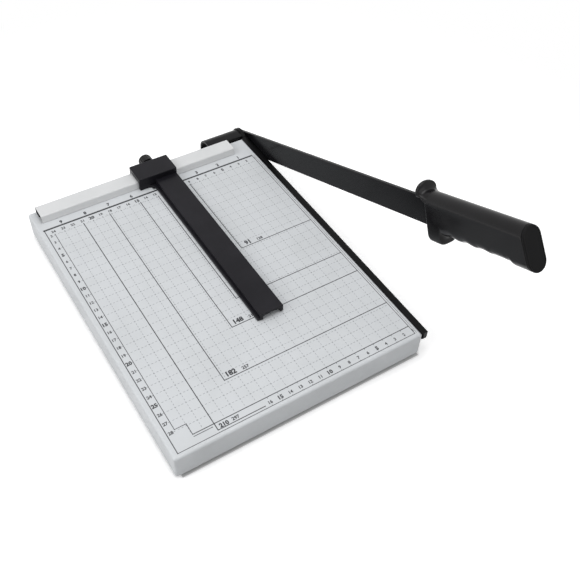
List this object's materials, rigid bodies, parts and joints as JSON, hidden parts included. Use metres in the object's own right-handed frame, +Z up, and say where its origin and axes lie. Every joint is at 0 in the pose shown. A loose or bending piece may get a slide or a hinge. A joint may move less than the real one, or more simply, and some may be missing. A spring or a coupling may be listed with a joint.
{
  "type": "guillotine paper cutter",
  "caption": "Desk guillotine for trimming paper: a flat sheet-metal board with a back rail, a sliding paper gauge, and a hinged blade arm with a grip along the right edge.",
  "frame": {"origin": "middle of the whole cutter's footprint box at the height of the table under the feet, with the arm raised as at rest", "axes": "+X to the right towards the blade, +Y away from the user towards the guide rail and pivot, +Z up"},
  "size_m": [0.2664, 0.4332, 0.2128],
  "materials": {
    "tray_paint": "light grey paint with a printed grid",
    "rail_paint": "light grey satin paint",
    "black_paint": "black semi-gloss paint",
    "handle_plastic": "black moulded plastic, semi-gloss",
    "gauge_plastic": "black moulded plastic, satin",
    "rubber": "black rubber",
    "zinc_steel": "zinc-plated steel",
    "spring_steel": "oiled spring wire",
    "brass": "turned brass"
  },
  "bodies": {
    "base": {"base_tray": "tray_paint", "fixed_blade": "black_paint", "guide_rail": "rail_paint", "pivot_housing": "black_paint", "blade_screw_1": "zinc_steel", "blade_screw_2": "zinc_steel", "blade_screw_3": "zinc_steel", "blade_screw_4": "zinc_steel", "rail_screw_1": "zinc_steel", "rail_screw_2": "zinc_steel", "rail_screw_3": "zinc_steel", "rail_nut_1": "zinc_steel", "rail_nut_2": "zinc_steel", "rail_nut_3": "zinc_steel", "housing_screw_1": "zinc_steel", "housing_screw_2": "zinc_steel", "pivot_bolt": "zinc_steel", "arm_washer": "zinc_steel", "spring_seat_washer": "zinc_steel", "pivot_spring": "spring_steel", "nut_washer": "zinc_steel", "pivot_nut": "zinc_steel", "rubber_foot_1": "rubber", "rubber_foot_2": "rubber", "rubber_foot_3": "rubber", "rubber_foot_4": "rubber", "foot_screw_1": "zinc_steel", "foot_screw_2": "zinc_steel", "foot_screw_3": "zinc_steel", "foot_screw_4": "zinc_steel"},
    "arm": {"blade_arm": "black_paint", "handle_grip": "handle_plastic", "handle_end_cap": "handle_plastic", "handle_screw_1": "zinc_steel", "handle_screw_2": "zinc_steel"},
    "gauge": {"gauge_body": "gauge_plastic", "threaded_insert": "brass"},
    "knob": {"lock_knob": "handle_plastic", "lock_screw": "zinc_steel", "clamp_pad": "gauge_plastic"}
  },
  "joints": [
    {"name": "arm_hinge", "type": "hinge", "parent": "base", "child": "arm", "pos_m": [0.12011, 0.20099, 0.0185], "axis": [-1, 0, 0], "range_deg": [-20.2, 50]},
    {"name": "gauge_slide", "type": "slide", "parent": "base", "child": "gauge", "axis": [1, 0, 0], "range_m": [-0.103, 0.051]},
    {"name": "knob_turn", "type": "hinge", "parent": "gauge", "child": "knob", "pos_m": [0.00211, 0.19009, 0.0365], "axis": [0, 1, 0], "range_deg": [0, 270]}
  ]
}
